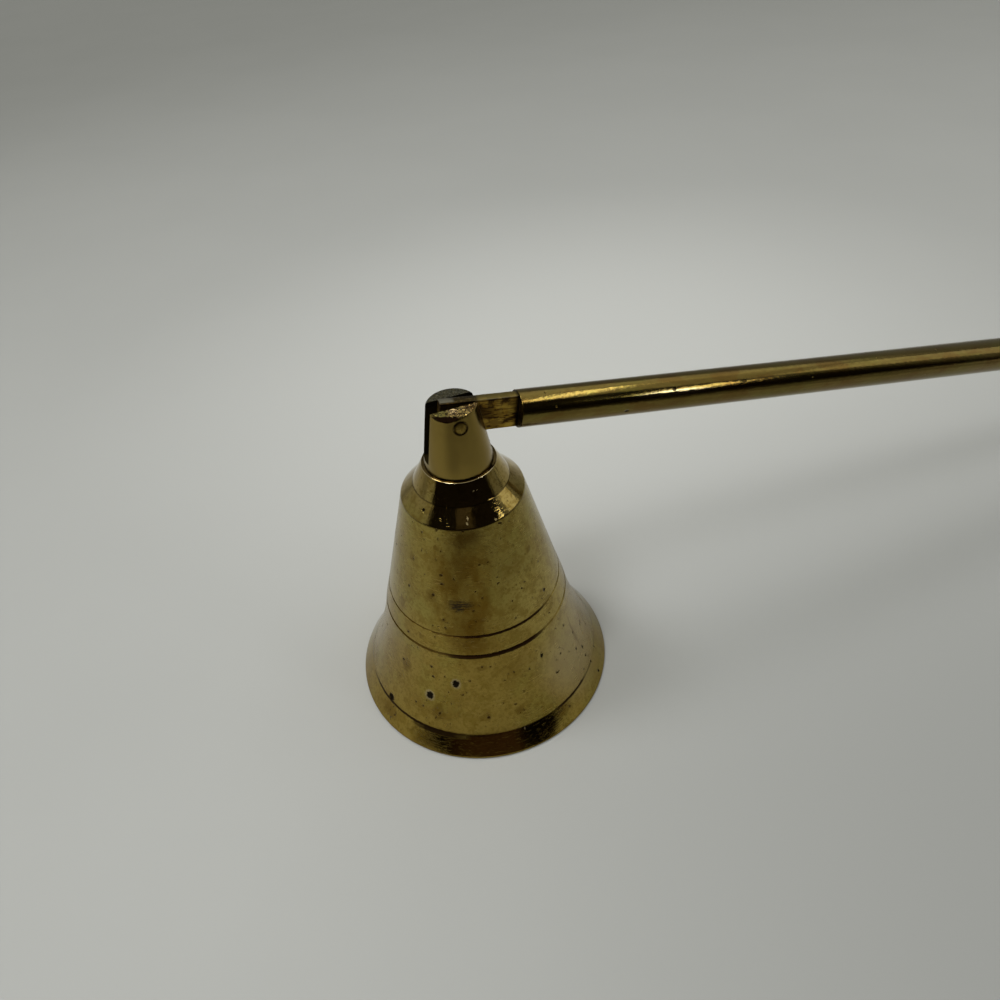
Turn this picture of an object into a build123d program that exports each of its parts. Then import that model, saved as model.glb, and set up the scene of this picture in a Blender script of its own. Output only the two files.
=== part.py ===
from build123d import *
import math
import os

os.makedirs("parts", exist_ok=True)

# Hinge post: a turned taper standing on the bell, slotted from the top
post_base_radius = 4.68
post_height = 9.0
post_taper = 1.4
post_top_bevel = 0.3
post_foot_bevel = 0.12
slot_floor_rise = 1.2
spigot_length = 4.5
spigot_shoulder = 1.68

# Hinge pin: a plain rivet, dressed flush with the post
pin_radius = 0.8
pin_below_top = 1.66
pin_ring_gap = 0.14
pin_ring_depth = 0.25

# Handle: a tapering round rod whose near end is milled to a thin tongue, hung on the pin above its middle
rod_radius = 2.5
rod_end_radius = 3.05
handle_length = 276.0
tongue_radius = 2.42
tongue_thickness = 1.3
tongue_length = 8.6
tongue_tail = 1.9
rod_drop = 0.39

# Bell outside, each step measured outward from the post
collar_ledge = 0.36
collar_flare = 1.52
bevel_flare = 1.98
body_flare = 4.33
waist_flare = 0.94
skirt_flare = 4.41
rim_flare = 1.98
skirt_hollow = 0.48
shoulder_bevel = 0.1
lip_bevel = 0.2

# Bell outside, heights measured upward from the table
lip_height = 0.4
rim_height = 3.55
skirt_height = 13.2
waist_height = 3.3
body_height = 16.7
bevel_height = 2.1
collar_height = 2.85

# Scribed lines round the waist, depths
lower_groove_size = 0.22
upper_groove_size = 0.15

# Bell inside
wall = 1.8
lip_width = 2.1
inner_lip_bevel = 0.3
ceiling_drop = 1.9
ceiling_bevel = 1.5

# Screw that holds the post, put in from inside the bell
screw_radius = 1.5
screw_head_radius = 2.75
screw_head_height = 2.0
screw_tip_gap = 0.3
screw_tip_bevel = 0.4
screw_slot_width = 0.7
screw_slot_depth = 0.9
tap_floor = 0.8

# Clearances, all radial or per side
spigot_clearance = 0.03
screw_hole_clearance = 0.15
thread_clearance = 0.03
pin_hold_clearance = 0.01
pin_run_clearance = 0.05
tongue_side_gap = 0.5

# Radii of the bell from the post out to the mouth
collar_top_radius = post_base_radius + collar_ledge
collar_line_radius = collar_top_radius + collar_flare
shoulder_radius = collar_line_radius + bevel_flare
upper_groove_radius = shoulder_radius + body_flare
lower_groove_radius = upper_groove_radius + waist_flare
rim_top_radius = lower_groove_radius + skirt_flare
mouth_radius = rim_top_radius + rim_flare

# Heights from the table up to the top of the post
lower_groove_level = rim_height + skirt_height
upper_groove_level = lower_groove_level + waist_height
shoulder_level = upper_groove_level + body_height
collar_line_level = shoulder_level + bevel_height
collar_top_level = collar_line_level + collar_height
post_top_level = collar_top_level + post_height
slot_floor_level = collar_top_level + slot_floor_rise
pin_level = post_top_level - pin_below_top
ceiling_level = shoulder_level - ceiling_drop
spigot_foot_level = collar_top_level - spigot_length
tap_top_level = slot_floor_level - tap_floor

# Sizes that follow from the fits
post_top_radius = post_base_radius - post_taper
post_radius_at_pin = post_top_radius + post_taper * pin_below_top / post_height
spigot_radius = post_base_radius - spigot_shoulder
slot_width = tongue_thickness + 2 * tongue_side_gap
post_width = 2 * post_base_radius
ceiling_radius = shoulder_radius + body_flare * ceiling_drop / body_height - wall

# Slope at which the far end of the handle just touches the table
far_end_reach = handle_length - rod_end_radius
far_end_swing = math.hypot(far_end_reach, rod_drop)
far_end_dip = math.asin((pin_level - rod_end_radius) / far_end_swing)
rest_slope = math.degrees(far_end_dip - math.atan2(rod_drop, far_end_reach))

UPWARD = (Align.CENTER, Align.CENTER, Align.MIN)


def bevelled(face, corner, size):
    nearest = face.vertices().sort_by_distance((corner[0], corner[1], 0))[0]
    return chamfer(nearest, size)


def turned(face):
    return revolve(Plane.XZ * face, Axis.Z)


def upright(radius, low, high):
    return Pos(0, 0, low) * Cylinder(radius, high - low, align=UPWARD)


def across(radius, length):
    return Pos(0, 0, pin_level) * Rot(90, 0, 0) * Cylinder(radius, length)


def bell_outside():
    lip = (mouth_radius, 0)
    lip_top = (mouth_radius, lip_height)
    rim_top = (rim_top_radius, rim_height)
    lower = (lower_groove_radius, lower_groove_level)
    upper = (upper_groove_radius, upper_groove_level)
    shoulder = (shoulder_radius, shoulder_level)
    line = (collar_line_radius, collar_line_level)
    top = (collar_top_radius, collar_top_level)
    foot = Polyline((0, 0), lip, lip_top, rim_top)
    skirt = SagittaArc(rim_top, lower, skirt_hollow)
    crown = Polyline(lower, upper, shoulder, line, top, (0, collar_top_level), (0, 0))
    face = make_face(foot + skirt + crown)
    face = bevelled(face, lip, lip_bevel)
    face = bevelled(face, shoulder, shoulder_bevel)
    return turned(face)


def bell_inside():
    edge_radius = mouth_radius - lip_width
    bevel_foot = (edge_radius + inner_lip_bevel, 0)
    bevel_top = (edge_radius, inner_lip_bevel)
    waist = (lower_groove_radius - wall, lower_groove_level)
    corner = (ceiling_radius, ceiling_level)
    outline = Polyline((0, 0), bevel_foot, bevel_top, waist, corner, (0, ceiling_level), (0, 0))
    face = bevelled(make_face(outline), corner, ceiling_bevel)
    return turned(face)


def scribed(radius, level, size):
    root = (radius - size, level)
    low = (radius + size, level - 2 * size)
    high = (radius + size, level + 2 * size)
    return turned(make_face(Polyline(root, low, high, root)))


def bell():
    part = bell_outside() - bell_inside()
    part -= scribed(lower_groove_radius, lower_groove_level, lower_groove_size)
    part -= scribed(upper_groove_radius, upper_groove_level, upper_groove_size)
    part -= upright(spigot_radius + spigot_clearance, spigot_foot_level, collar_top_level)
    part -= upright(screw_radius + screw_hole_clearance, ceiling_level, spigot_foot_level)
    return part


def post_blank():
    foot = (post_base_radius, collar_top_level)
    top = (post_top_radius, post_top_level)
    face = make_face(Polyline((0, collar_top_level), foot, top, (0, post_top_level), (0, collar_top_level)))
    face = bevelled(face, top, post_top_bevel)
    face = bevelled(face, foot, post_foot_bevel)
    return turned(face)


def hinge_post():
    part = post_blank() + upright(spigot_radius, spigot_foot_level, collar_top_level)
    slot = Box(post_width, slot_width, post_top_level - slot_floor_level, align=UPWARD)
    part -= Pos(0, 0, slot_floor_level) * slot
    part -= upright(screw_radius + thread_clearance, spigot_foot_level, tap_top_level)
    part -= across(pin_radius + pin_hold_clearance, post_width)
    ring = across(pin_radius + pin_ring_gap, 2 * pin_ring_depth)
    for side in (-post_radius_at_pin, post_radius_at_pin):
        part -= Pos(0, side, 0) * ring
    return part


def hinge_pin():
    return across(pin_radius, post_width) & post_blank()


def crown_screw():
    tip = tap_top_level - screw_tip_gap
    shank = upright(screw_radius, ceiling_level, tip)
    shank = chamfer(shank.edges().sort_by(Axis.Z)[-1], screw_tip_bevel)
    head_foot = ceiling_level - screw_head_height
    head = upright(screw_head_radius, head_foot, ceiling_level)
    slot = Box(2 * screw_head_radius, screw_slot_width, screw_slot_depth, align=UPWARD)
    return shank + head - Pos(0, 0, head_foot) * slot


def tongue():
    reach = tongue_tail + tongue_length
    stub = Rot(0, 90, 0) * Cylinder(tongue_radius, reach, align=UPWARD)
    flats = Box(2 * reach, tongue_thickness, 2 * tongue_radius)
    return Pos(-tongue_tail, 0, 0) * (stub & flats)


def rod():
    near = (tongue_length, rod_radius)
    end = (far_end_reach, rod_end_radius)
    side = Polyline((tongue_length, 0), near, end)
    dome = RadiusArc(end, (handle_length, 0), rod_end_radius)
    axis = Line((handle_length, 0), (tongue_length, 0))
    return revolve(make_face(side + dome + axis), Axis.X)


def handle():
    part = Pos(0, 0, -rod_drop) * (rod() + tongue())
    part -= Rot(90, 0, 0) * Cylinder(pin_radius + pin_run_clearance, 2 * tongue_radius)
    return Pos(0, 0, pin_level) * Rot(0, rest_slope, 0) * part


nodes = {
    "bell": bell,
    "hinge_post": hinge_post,
    "crown_screw": crown_screw,
    "hinge_pin": hinge_pin,
    "handle": handle,
}
for name, make in nodes.items():
    export_step(make(), f"parts/{name}.step")
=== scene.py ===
import math

import bmesh
import bpy
from mathutils import Matrix, Quaternion, Vector


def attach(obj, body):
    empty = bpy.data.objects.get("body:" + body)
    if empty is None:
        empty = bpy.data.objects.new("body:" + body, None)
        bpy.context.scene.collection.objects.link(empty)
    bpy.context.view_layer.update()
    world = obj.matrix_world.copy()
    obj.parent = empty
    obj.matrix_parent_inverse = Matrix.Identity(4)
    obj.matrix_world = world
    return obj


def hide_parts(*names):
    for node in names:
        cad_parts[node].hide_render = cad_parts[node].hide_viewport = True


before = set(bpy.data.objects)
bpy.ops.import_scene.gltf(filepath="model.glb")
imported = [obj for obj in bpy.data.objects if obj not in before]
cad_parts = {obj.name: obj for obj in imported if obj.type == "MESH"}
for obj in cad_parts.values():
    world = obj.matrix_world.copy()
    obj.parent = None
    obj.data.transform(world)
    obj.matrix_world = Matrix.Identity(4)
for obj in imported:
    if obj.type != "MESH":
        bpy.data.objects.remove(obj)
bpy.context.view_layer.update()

MM = 0.001

# Bell outside, radius and height of each turned corner, mm
LIP = (20.2, 0.4)
RIM_TOP = (18.22, 3.55)
LOWER_LINE = (13.81, 16.75)
UPPER_LINE = (12.87, 20.05)
SHOULDER = (8.54, 36.75)
COLLAR_LINE = (6.56, 38.85)
COLLAR_TOP = (5.04, 41.7)
LIP_BEVEL = 0.2
SKIRT_HOLLOW = 0.48
LOWER_CUT = 0.22
UPPER_CUT = 0.15

# Bell inside, mm
LIP_INSIDE = 18.1
LIP_INSIDE_BEVEL = 0.3
WAIST_INSIDE = (12.01, 16.75)
CEILING = (7.23, 34.85)
CEILING_BEVEL = 1.5
SPIGOT_HOLE = (3.03, 37.2)
SCREW_HOLE_RADIUS = 1.65

# Hinge post, mm
POST_FOOT_RADIUS = 4.68
POST_TOP = (3.28, 50.7)
POST_FOOT_BEVEL = 0.12
POST_TOP_EASE = 0.3
SPIGOT = (3.0, 37.2)
TAP = (1.53, 42.1)
SLOT_WIDTH = 2.3
SLOT_FLOOR = 42.9
PIN_LEVEL = 49.04
PIN_RADIUS = 0.8
PIN_HOLE_RADIUS = 0.81
PIN_RING_RADIUS = 0.94
PIN_RING_DEPTH = 0.25
POST_AT_PIN = 3.54

# Flat filed on the outer edge of the post's front cheek: a point, mm, and the way it faces
FILED_FLAT = (-1.39, -2.6, 50.5)
FILED_FLAT_FACING = (-0.369, -0.690, 0.623)

# Handle, mm along the rod from the pin
TONGUE_RADIUS = 2.42
TONGUE_THICKNESS = 1.3
TONGUE_TAIL = 1.9
TONGUE_HOLE_RADIUS = 0.85
STEP = (2.5, 8.6)
ROD_DROP = 0.39
ROD_END = (3.05, 272.95)
REST_SLOPE = math.radians(9.6183)

# Corners rounded over on the bell and on the rod's step, mm
LIP_EASE = 0.1
RIM_EASE = 0.22
SHOULDER_EASE = 0.12
COLLAR_LINE_EASE = 0.1
COLLAR_TOP_EASE = 0.07
WAIST_INSIDE_EASE = 1.2
STEP_EASE = 0.1

# Coarse filing of the front cheek's top, mm: how far down it goes and how deep the file bites
FILED_DEPTH = 0.145
FILE_BITE = 0.13

# Points nearer than this are one point after a cut, mm
SAME_POINT = 0.0015

# Camera: place, m, then yaw, pitch and roll, degrees, and lens, mm
CAMERA_PLACE = (-0.01615, -0.07598, 0.10408)
CAMERA_TURNS = (15.637, 42.285, -5.302)
LENS = 27.0

# The point the lamps are aimed at, and their distance from it, m
LAMPS_AIM = (0.03, 0, 0.03)
LAMPS_AWAY = 0.8

# Facets round each turned piece
BELL_FACETS = 224
POST_FACETS = 160
ROD_FACETS = 96
PIN_FACETS = 64

# Angle, degrees, past which an edge stays crisp
CRISP_EDGE = 32
CRISP_FILING = 17

# The post's mesh rings between foot and top, mm, clear of the pin's hole
POST_RINGS = (44, 46, 47.8, 50.1)


# Modelling

def nothing_selected():
    if bpy.context.mode != "OBJECT":
        bpy.ops.object.mode_set(mode="OBJECT")
    bpy.ops.object.select_all(action="DESELECT")


def only(piece):
    """Makes one piece the selected and active one."""
    nothing_selected()
    piece.select_set(True)
    bpy.context.view_layer.objects.active = piece


def edit(piece):
    only(piece)
    bpy.ops.object.mode_set(mode="EDIT")


def edit_all(piece):
    edit(piece)
    bpy.ops.mesh.select_all(action="SELECT")


def named(name):
    """Gives the piece just started its name, with its place in its mesh."""
    piece = bpy.context.object
    piece.name = piece.data.name = name
    bpy.ops.object.transform_apply(location=True, rotation=True, scale=True)
    return piece


def pick(piece, kind, test):
    """In edit mode, selects the faces, edges or verts that pass the test."""
    bpy.ops.mesh.select_mode(type={"faces": "FACE", "edges": "EDGE", "verts": "VERT"}[kind])
    bpy.ops.mesh.select_all(action="DESELECT")
    mesh = bmesh.from_edit_mesh(piece.data)
    for item in getattr(mesh, kind):
        if test(item):
            item.select_set(True)
    mesh.select_flush_mode()
    bmesh.update_edit_mesh(piece.data)


def drawn_out(rings):
    """In edit mode, draws the selected ring out along Z through (radius, height) pairs, mm."""
    for (radius, level), (next_radius, next_level) in zip(rings, rings[1:]):
        rise = (next_level - level) * MM
        bpy.ops.mesh.extrude_edges_move(TRANSFORM_OT_translate={"value": (0, 0, rise)})
        grow = next_radius / radius
        bpy.ops.transform.resize(value=(grow, grow, 1), center_override=(0, 0, next_level * MM))


def turned(name, rings, facets, closed):
    """A lathe-turned piece. A closed one ends on its first ring, an open one has both ends faced."""
    nothing_selected()
    radius, level = rings[0]
    fill = "NOTHING" if closed else "NGON"
    bpy.ops.mesh.primitive_circle_add(
        vertices=facets, radius=radius * MM, fill_type=fill, location=(0, 0, level * MM))
    piece = named(name)
    edit(piece)
    bpy.ops.mesh.select_mode(type="EDGE")
    bpy.ops.mesh.select_all(action="SELECT")
    drawn_out(rings)
    if not closed:
        bpy.ops.mesh.edge_face_add()
    bpy.ops.mesh.select_all(action="SELECT")
    bpy.ops.mesh.remove_doubles(threshold=MM / 1000)
    bpy.ops.mesh.normals_make_consistent(inside=False)
    return piece


def eased(piece, ring, width, segments=3):
    """In edit mode, rounds one turned corner over."""
    radius, level = ring

    def on_ring(edge):
        return all(
            abs(math.hypot(v.co.x, v.co.y) / MM - radius) < 0.004
            and abs(v.co.z / MM - level) < 0.004
            for v in edge.verts)

    pick(piece, "edges", on_ring)
    bpy.ops.mesh.bevel(offset=width * MM, offset_type="OFFSET", segments=segments, profile=0.5)


def cut(piece, tool, operation="DIFFERENCE"):
    """Takes a cutting tool to a piece and throws the tool away."""
    only(piece)
    step = piece.modifiers.new("cut", "BOOLEAN")
    step.operation = operation
    step.solver = "EXACT"
    step.object = tool
    bpy.ops.object.modifier_apply(modifier=step.name)
    bpy.data.objects.remove(tool, do_unlink=True)
    edit_all(piece)
    bpy.ops.mesh.remove_doubles(threshold=SAME_POINT * MM)
    bpy.ops.object.mode_set(mode="OBJECT")


def edges_eased(piece, name, width, angle):
    """Rounds over every edge sharper than an angle, in degrees, by a width in mm."""
    only(piece)
    ease = piece.modifiers.new(name, "BEVEL")
    ease.width = width * MM
    ease.segments = 2
    ease.limit_method = "ANGLE"
    ease.angle_limit = math.radians(angle)
    bpy.ops.object.modifier_apply(modifier=ease.name)


def second_finish(piece, test):
    """Gives the faces that pass the test a finish of their own. Starts in edit mode and leaves it."""
    pick(piece, "faces", test)
    piece.data.materials.append(None)
    piece.data.materials.append(None)
    piece.active_material_index = 1
    bpy.ops.object.material_slot_assign()
    bpy.ops.object.mode_set(mode="OBJECT")


def smoothed(piece, angle=CRISP_EDGE):
    """Smooth shading that stays crisp on hard edges and flat on flat faces."""
    only(piece)
    bpy.ops.object.shade_smooth_by_angle(angle=math.radians(angle))
    flat = piece.modifiers.new("flat faces", "WEIGHTED_NORMAL")
    flat.keep_sharp = True
    flat.weight = 80
    bpy.ops.object.modifier_apply(modifier=flat.name)


def finished(piece, body, node, coats):
    """Rides a piece on its body, in place of the plain solid, with its finishes."""
    nothing_selected()
    # Slots are filled one by one, because clearing them would lose which face has which finish
    for i, coat in enumerate(coats):
        if i < len(piece.data.materials):
            piece.data.materials[i] = coat
        else:
            piece.data.materials.append(coat)
    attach(piece, body)
    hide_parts(node)


def hollow_between(foot, top, hollow, steps):
    """Rings of the shallow hollow curve between two corners, ends left out."""
    run, rise = top[0] - foot[0], top[1] - foot[1]
    length = math.hypot(run, rise)
    rings = []
    for i in range(1, steps):
        t = i / steps
        sag = hollow * 4 * t * (1 - t)
        radius = foot[0] + run * t - sag * rise / length
        rings.append((radius, foot[1] + rise * t + sag * run / length))
    return rings


def between(a, b, level):
    """The ring at one height on the straight line between two corners."""
    return (a[0] + (b[0] - a[0]) * (level - a[1]) / (b[1] - a[1]), level)


def bell_piece():
    skirt = hollow_between(RIM_TOP, LOWER_LINE, SKIRT_HOLLOW, 18)
    rings = [(LIP[0] - LIP_BEVEL, 0), (LIP[0], LIP_BEVEL), LIP, RIM_TOP]
    rings += skirt
    rings.append(between(skirt[-1], LOWER_LINE, LOWER_LINE[1] - LOWER_CUT))
    rings.append((LOWER_LINE[0] - LOWER_CUT, LOWER_LINE[1]))
    rings.append(between(LOWER_LINE, UPPER_LINE, LOWER_LINE[1] + LOWER_CUT))
    rings.append(between(LOWER_LINE, UPPER_LINE, UPPER_LINE[1] - UPPER_CUT))
    rings.append((UPPER_LINE[0] - UPPER_CUT, UPPER_LINE[1]))
    rings.append(between(UPPER_LINE, SHOULDER, UPPER_LINE[1] + UPPER_CUT))
    rings += [SHOULDER, COLLAR_LINE, COLLAR_TOP]
    rings += [(SPIGOT_HOLE[0], COLLAR_TOP[1]), SPIGOT_HOLE]
    rings += [(SCREW_HOLE_RADIUS, SPIGOT_HOLE[1]), (SCREW_HOLE_RADIUS, CEILING[1])]
    rings.append((CEILING[0] - CEILING_BEVEL, CEILING[1]))
    rings.append(between(WAIST_INSIDE, CEILING, CEILING[1] - CEILING_BEVEL))
    rings += [WAIST_INSIDE, (LIP_INSIDE, LIP_INSIDE_BEVEL), (LIP_INSIDE + LIP_INSIDE_BEVEL, 0)]
    rings.append(rings[0])
    piece = turned("bell_turned", rings, BELL_FACETS, closed=True)
    eased(piece, LIP, LIP_EASE)
    eased(piece, RIM_TOP, RIM_EASE, 4)
    eased(piece, SHOULDER, SHOULDER_EASE)
    eased(piece, COLLAR_LINE, COLLAR_LINE_EASE)
    eased(piece, COLLAR_TOP, COLLAR_TOP_EASE)
    eased(piece, WAIST_INSIDE, WAIST_INSIDE_EASE, 4)

    def inside(face):
        place = face.calc_center_median()
        outward = place.x * face.normal.x + place.y * face.normal.y
        below_lip = face.normal.z < -0.9 and place.z < LIP_BEVEL * MM
        deep = math.hypot(place.x, place.y) < SPIGOT_HOLE[0] * MM
        return (outward < -0.1 * MM or face.normal.z < -0.2 or deep) and not below_lip

    second_finish(piece, inside)
    smoothed(piece)
    return piece


def bar(name, radius, length):
    """A round cutting bar lying across the post at the pin, from front to back."""
    nothing_selected()
    bpy.ops.mesh.primitive_cylinder_add(
        vertices=PIN_FACETS, radius=radius * MM, depth=length * MM,
        location=(0, 0, PIN_LEVEL * MM), rotation=(math.pi / 2, 0, 0))
    return named(name)


def post_blank(name):
    foot = (POST_FOOT_RADIUS, COLLAR_TOP[1])
    rings = [TAP, (TAP[0], SPIGOT[1]), SPIGOT, (SPIGOT[0], COLLAR_TOP[1])]
    rings.append((POST_FOOT_RADIUS - POST_FOOT_BEVEL, COLLAR_TOP[1]))
    for level in (COLLAR_TOP[1] + POST_FOOT_BEVEL, *POST_RINGS):
        rings.append(between(foot, POST_TOP, level))
    rings.append(POST_TOP)
    piece = turned(name, rings, POST_FACETS, closed=False)
    eased(piece, POST_TOP, POST_TOP_EASE, 5)
    bpy.ops.object.mode_set(mode="OBJECT")
    return piece


def rough_file(width, cells, level, bite, seed):
    """A cutting block with a rough underside, which leaves the front cheek's top coarsely filed."""
    nothing_selected()
    bpy.ops.mesh.primitive_grid_add(
        x_subdivisions=cells, y_subdivisions=cells // 2,
        size=width * MM, location=(0, 0, level * MM))
    block = named("rough_file")
    edit_all(block)
    bpy.ops.transform.resize(value=(1, 0.5, 1), center_override=(0, -width * MM, level * MM))
    bpy.ops.transform.translate(value=(0, (width / 4 - 0.5) * MM, 0))
    bpy.ops.transform.vertex_random(offset=bite * MM, uniform=0.35, normal=0, seed=seed)
    bpy.ops.mesh.extrude_region_move(TRANSFORM_OT_translate={"value": (0, 0, 2 * MM)})
    bpy.ops.mesh.select_all(action="SELECT")
    bpy.ops.mesh.normals_make_consistent(inside=False)
    bpy.ops.object.mode_set(mode="OBJECT")
    return block


def flat_file(width):
    """A cutting block whose underside lies on the flat filed on the post's front cheek."""
    nothing_selected()
    facing = Vector(FILED_FLAT_FACING).normalized()
    middle = Vector(FILED_FLAT) + facing * (width / 2)
    bpy.ops.mesh.primitive_cube_add(
        size=width * MM, location=middle * MM,
        rotation=facing.to_track_quat("Z", "Y").to_euler())
    return named("flat_file")


def post_piece():
    piece = post_blank("hinge_post_turned")
    nothing_selected()
    depth = POST_TOP[1] - SLOT_FLOOR + 2
    middle = (0, 0, (SLOT_FLOOR + depth / 2) * MM)
    bpy.ops.mesh.primitive_cube_add(size=1, location=middle)
    saw = named("saw")
    edit_all(saw)
    bpy.ops.transform.resize(
        value=(3 * POST_FOOT_RADIUS * MM, SLOT_WIDTH * MM, depth * MM), center_override=middle)
    bpy.ops.object.mode_set(mode="OBJECT")
    cut(piece, saw)
    cut(piece, bar("pin_drill", PIN_HOLE_RADIUS, 4 * POST_FOOT_RADIUS))
    for side in (-1, 1):
        ring = bar("ring_drill", PIN_RING_RADIUS, 2 * PIN_RING_DEPTH)
        edit_all(ring)
        bpy.ops.transform.translate(value=(0, side * POST_AT_PIN * MM, 0))
        bpy.ops.object.mode_set(mode="OBJECT")
        cut(piece, ring)
    edges_eased(piece, "eased edges", 0.05, 40)
    cut(piece, flat_file(width=12))
    cut(piece, rough_file(
        width=8, cells=42, level=POST_TOP[1] - FILED_DEPTH, bite=FILE_BITE, seed=5))
    smoothed(piece, CRISP_FILING)
    return piece


def pin_piece():
    piece = bar("hinge_pin_riveted", PIN_RADIUS, 4 * POST_FOOT_RADIUS)
    cut(piece, post_blank("flush_form"), "INTERSECT")
    edges_eased(piece, "dressed ends", 0.07, 50)
    smoothed(piece)
    return piece


def laid_on_slope(piece):
    """Turns a piece drawn upright on to the rod's axis and hangs it on the pin."""
    piece.matrix_world = (
        Matrix.Translation((0, 0, PIN_LEVEL * MM))
        @ Matrix.Rotation(math.pi / 2 + REST_SLOPE, 4, "Y")
        @ Matrix.Translation((ROD_DROP * MM, 0, 0)))
    only(piece)
    bpy.ops.object.transform_apply(location=True, rotation=True, scale=True)


def tongue_piece():
    rings = [(TONGUE_RADIUS, -TONGUE_TAIL), (TONGUE_RADIUS, STEP[1] + 1)]
    piece = turned("tongue", rings, ROD_FACETS, closed=False)
    for side in (-1, 1):
        bpy.ops.mesh.select_all(action="SELECT")
        bpy.ops.mesh.bisect(
            plane_co=(0, side * TONGUE_THICKNESS / 2 * MM, 0), plane_no=(0, side, 0),
            use_fill=True, clear_outer=True)
    bpy.ops.object.mode_set(mode="OBJECT")
    edges_eased(piece, "milled edges", 0.09, 40)
    return piece


def handle_piece():
    reach = ROD_END[1]
    rings = [STEP]
    for i in range(1, 12):
        rings.append(between(STEP, ROD_END, STEP[1] + (reach - STEP[1]) * i / 12))
    for i in range(0, 12):
        turn = math.pi / 2 * i / 12
        rings.append((ROD_END[0] * math.cos(turn), reach + ROD_END[0] * math.sin(turn)))
    piece = turned("handle_rod", rings, ROD_FACETS, closed=False)
    eased(piece, STEP, STEP_EASE)
    bpy.ops.object.mode_set(mode="OBJECT")
    cut(piece, tongue_piece(), "UNION")
    laid_on_slope(piece)
    cut(piece, bar("tongue_drill", TONGUE_HOLE_RADIUS, 4 * TONGUE_RADIUS))
    edit(piece)
    along = Vector((math.cos(REST_SLOPE), 0, -math.sin(REST_SLOPE)))
    pin = Vector((0, 0, PIN_LEVEL * MM))

    def milled(face):
        return (face.calc_center_median() - pin).dot(along) < (STEP[1] + 0.01) * MM

    second_finish(piece, milled)
    smoothed(piece)
    return piece


# Materials. The brass is aged, so its colours are darker and browner than those of fresh brass.

def paint(code):
    """An sRGB hex colour as linear RGBA."""
    parts = [int(code[i:i + 2], 16) / 255 for i in (1, 3, 5)]
    return [c / 12.92 if c <= 0.04045 else ((c + 0.055) / 1.055) ** 2.4 for c in parts] + [1.0]


def per_mm(size):
    """Pattern scale at which one feature is that many millimetres wide."""
    return 1 / (size * MM)


def put(tree, kind, wires, **settings):
    """Adds a node: its options, then its inputs, each a value or another node's output."""
    made = tree.nodes.new(kind)
    for name, value in settings.items():
        setattr(made, name, value)
    for socket, value in wires.items():
        if isinstance(value, bpy.types.NodeSocket):
            tree.links.new(value, made.inputs[socket])
        else:
            made.inputs[socket].default_value = value
    return made


def blank_material(name, metallic=1.0):
    """A new material with its shader, and the piece's own coordinates."""
    material = bpy.data.materials.new(name)
    material.use_nodes = True
    tree = material.node_tree
    shader = tree.nodes["Principled BSDF"]
    shader.inputs["Metallic"].default_value = metallic
    place = put(tree, "ShaderNodeTexCoord", {}).outputs["Object"]
    return material, tree, shader, place


def clouds(tree, place, size, low, high, detail=4.0, rough=0.55):
    """Soft patches of a size in mm, none below low and full above high."""
    noise = put(tree, "ShaderNodeTexNoise", {
        "Vector": place, "Scale": per_mm(size), "Detail": detail, "Roughness": rough}).outputs[0]
    return put(tree, "ShaderNodeMapRange", {
        "Value": noise, "From Min": low, "From Max": high},
        interpolation_type="SMOOTHSTEP").outputs[0]


def specks(tree, place, spacing, radius, share):
    """Scattered dots: one cell in a few holds a dot, of up to that radius in mm."""
    cells = put(tree, "ShaderNodeTexVoronoi", {"Vector": place, "Scale": per_mm(spacing)})
    draw = put(tree, "ShaderNodeSeparateColor", {0: cells.outputs["Color"]})
    size = put(tree, "ShaderNodeMapRange", {
        "Value": draw.outputs[0], "From Min": 1 - share, "From Max": 1.0,
        "To Min": 0.0, "To Max": radius / spacing}).outputs[0]
    gap = put(tree, "ShaderNodeMath", {
        0: size, 1: cells.outputs["Distance"]}, operation="SUBTRACT").outputs[0]
    return put(tree, "ShaderNodeMapRange", {
        "Value": gap, "From Min": 0.0, "From Max": 0.35 * radius / spacing}).outputs[0]


def mark(tree, place, centre, reach, soft=0.5):
    """One blemish at a point, fading over the soft share of its reach, mm."""
    off = put(tree, "ShaderNodeVectorMath", {
        0: place, 1: [c * MM for c in centre]}, operation="SUBTRACT").outputs[0]
    off = stretched(tree, off, [per_mm(r) for r in reach])
    away = put(tree, "ShaderNodeVectorMath", {0: off}, operation="LENGTH").outputs["Value"]
    return put(tree, "ShaderNodeMapRange", {
        "Value": away, "From Min": 1.0, "From Max": 1 - soft},
        interpolation_type="SMOOTHSTEP").outputs[0]


def blots(tree, place, spots, soft=0.5):
    """Several blemishes, each its centre and its reach, mm."""
    return either(tree, *[mark(tree, place, centre, reach, soft) for centre, reach in spots])


def level_band(tree, height, level, half, soft):
    """A ring round the piece at one height, mm."""
    off = put(tree, "ShaderNodeMath", {0: height, 1: level * MM}, operation="SUBTRACT").outputs[0]
    off = put(tree, "ShaderNodeMath", {0: off}, operation="ABSOLUTE").outputs[0]
    return put(tree, "ShaderNodeMapRange", {
        "Value": off, "From Min": (half + soft) * MM, "From Max": half * MM},
        interpolation_type="SMOOTHSTEP").outputs[0]


def both(tree, one, other):
    """Where two masks meet, or one mask times a number."""
    return put(tree, "ShaderNodeMath", {0: one, 1: other}, operation="MULTIPLY").outputs[0]


def either(tree, *masks):
    """Where any of the masks is."""
    total = masks[0]
    for mask in masks[1:]:
        total = put(tree, "ShaderNodeMath", {0: total, 1: mask}, operation="MAXIMUM").outputs[0]
    return total


def outside(tree, mask):
    """Where a mask isn't."""
    return put(tree, "ShaderNodeMath", {0: 1.0, 1: mask}, operation="SUBTRACT").outputs[0]


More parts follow.
